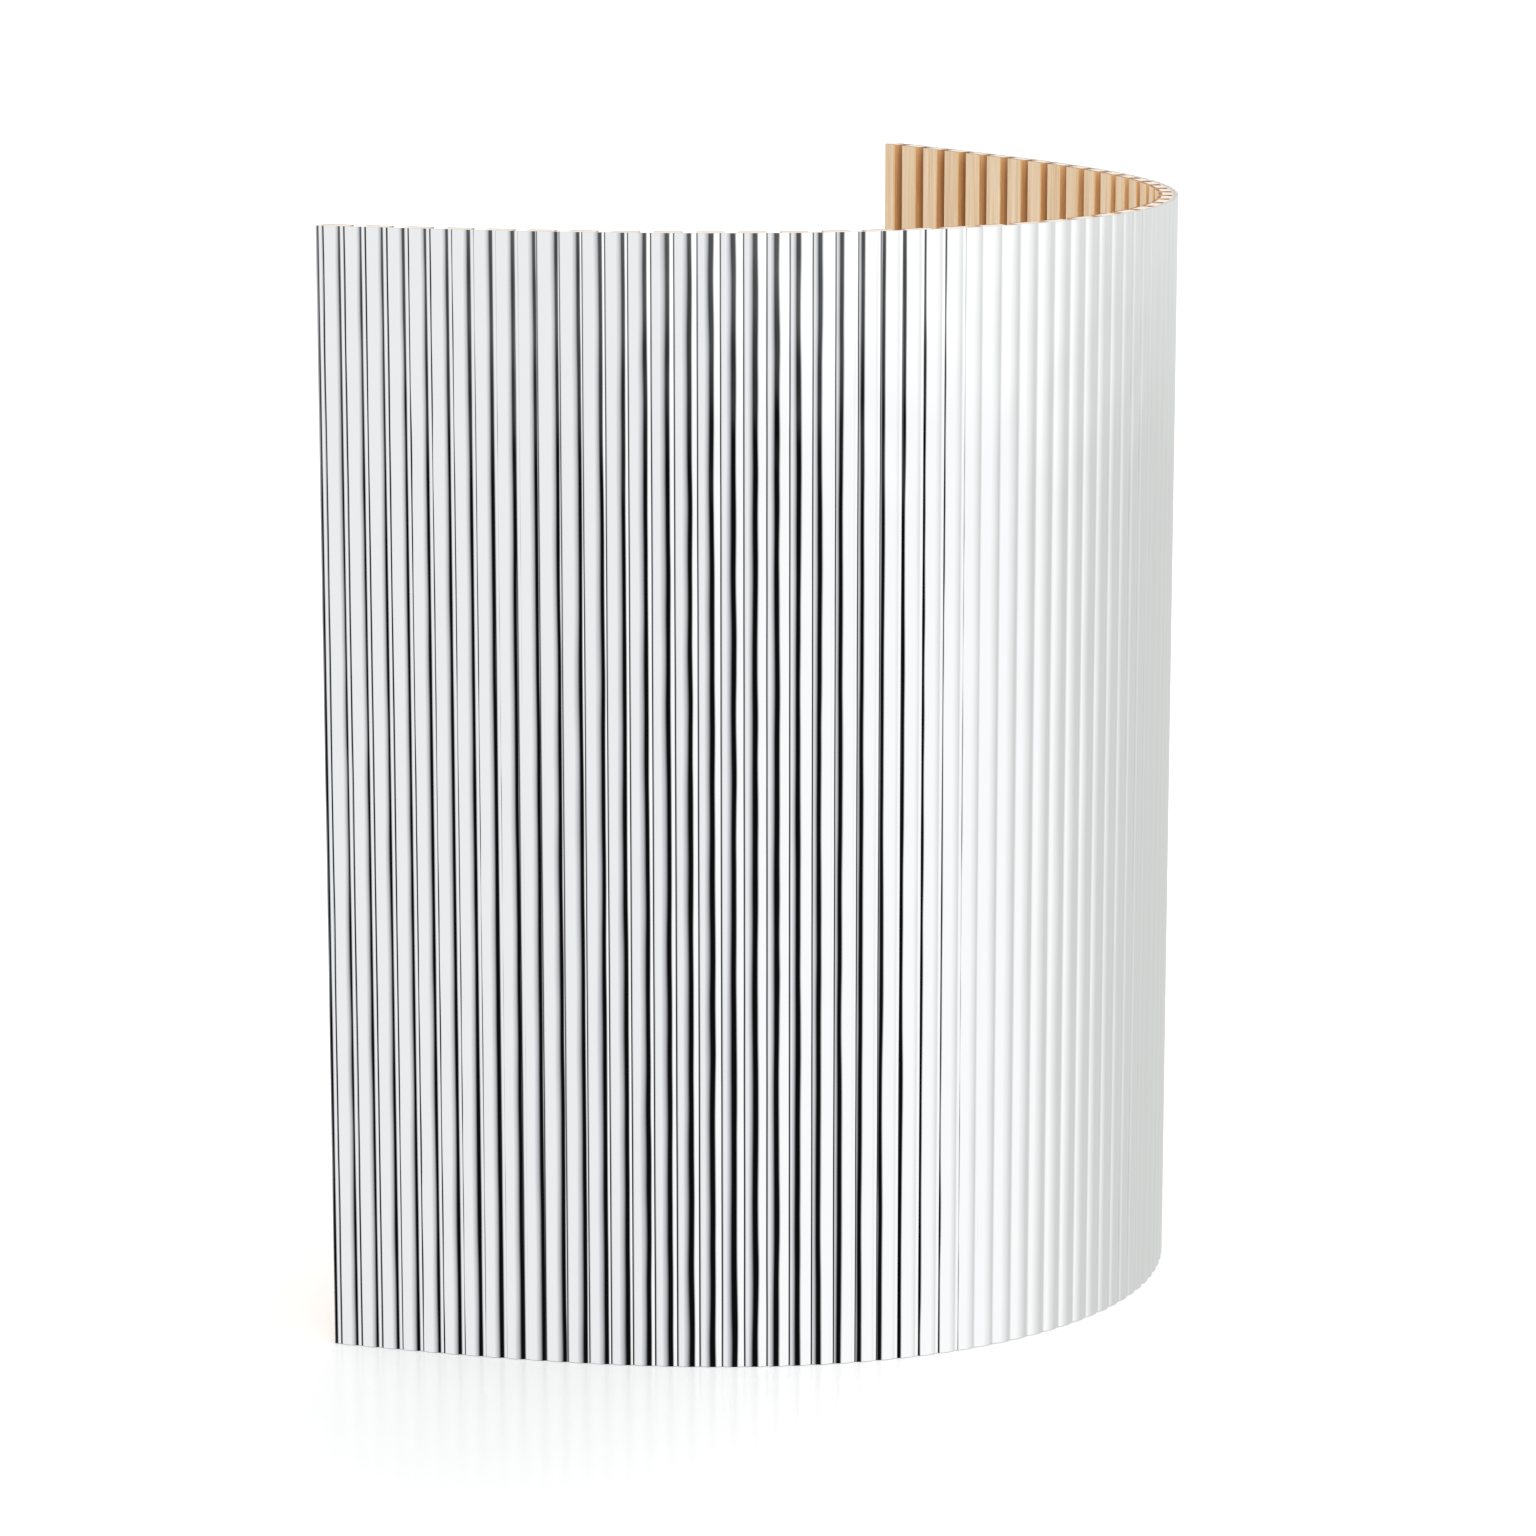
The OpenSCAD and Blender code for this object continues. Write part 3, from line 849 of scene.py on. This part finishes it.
# the veil
level = add(tree, "ShaderNodeMath", {0: part["Z"], 1: 0.5, 2: 0.5}, operation="MULTIPLY_ADD")
glow = ramp(tree, level, [((z + 1) / 2, (v, v, v, 1)) for z, v in VEIL])
over = add(tree, "ShaderNodeMapRange", {
    "Value": turn, "From Min": compass_share(VEIL_FROM), "From Max": compass_share(GAP_MIDDLE)})
veiled = add(tree, "ShaderNodeMix", {
    "Factor": over, "A": screens, "B": glow}, data_type="RGBA", blend_type="ADD")
path = add(tree, "ShaderNodeLightPath").outputs
mirrored = add(tree, "ShaderNodeMath", {
    0: path["Is Glossy Ray"], 1: path["Is Transmission Ray"]}, operation="MAXIMUM")
even = add(tree, "ShaderNodeMix", {
    "Factor": mirrored, "A": (EVEN_LIGHT, EVEN_LIGHT, EVEN_LIGHT, 1),
    "B": veiled.outputs["Result"]}, data_type="RGBA")
backdrop = add(tree, "ShaderNodeMix", {
    "Factor": path["Is Camera Ray"], "A": even.outputs["Result"],
    "B": (1, 1, 1, 1)}, data_type="RGBA")
sky = add(tree, "ShaderNodeBackground", {"Color": backdrop.outputs["Result"], "Strength": 1.0})
add(tree, "ShaderNodeOutputWorld", {"Surface": sky})
print("world", len(tree.nodes), "nodes")


# %% [markdown]
# ## Lamp
# Even light from all round leaves the grooves without depth. A softbox above and to the
# left gives the teeth and the floor their soft shade, as in the photograph. A sun would
# do that too, but its shadow edges are hard. The mirror film doesn't show the lamp.

# %% Lamp
LAMP_PLACE, LAMP_AIM = (-0.5, -2.4, 3.4), (0.0, 0.1, 0.6)
LAMP_SIZE, LAMP_WATTS = 2.2, 18


def softbox(name, place, aim, size, watts):
    """A square soft light that the mirror film doesn't show."""
    data = bpy.data.lights.new(name, "AREA")
    data.size, data.energy = size, watts
    lamp = bpy.data.objects.new(name, data)
    bpy.context.scene.collection.objects.link(lamp)
    lamp.location = place
    lamp.rotation_euler = (Vector(aim) - Vector(place)).to_track_quat("-Z", "Y").to_euler()
    lamp.visible_glossy = False
    return lamp


softbox("softbox_front_left", LAMP_PLACE, LAMP_AIM, LAMP_SIZE, LAMP_WATTS)
print("lamp at", LAMP_PLACE, "with", LAMP_WATTS, "watts over", LAMP_SIZE, "metres")

# %% [markdown]
# ## Camera
# The photograph was taken with a long lens from a little above the panel's top edge, so
# the wood shows over the front run. The camera's place, tilt and lens come from a fit to
# the panel's outline. The photograph's upright lines are almost parallel. A shifted lens
# would copy that, but the shift would spoil every other view, so the camera stands far
# back with a long lens, which keeps them close to parallel without one.

# %% Camera
# lens and sensor in mm, place in metres, tilt down and turn in degrees
LENS, SENSOR = 120.5, 36.0
CAMERA_PLACE = (-0.172, -4.8, 1.43)
TILT_DOWN, CAMERA_TURN = 11.597, -2.231
data = bpy.data.cameras.new("camera")
data.lens, data.sensor_width = LENS, SENSOR
data.clip_start, data.clip_end = 0.1, 100
camera = bpy.data.objects.new("camera", data)
bpy.context.scene.collection.objects.link(camera)
camera.location = CAMERA_PLACE
camera.rotation_euler = (math.radians(90 - TILT_DOWN), 0.0, math.radians(CAMERA_TURN))
bpy.context.scene.camera = camera
bpy.context.scene.view_settings.view_transform = "Standard"
print("camera at", camera.location[:])
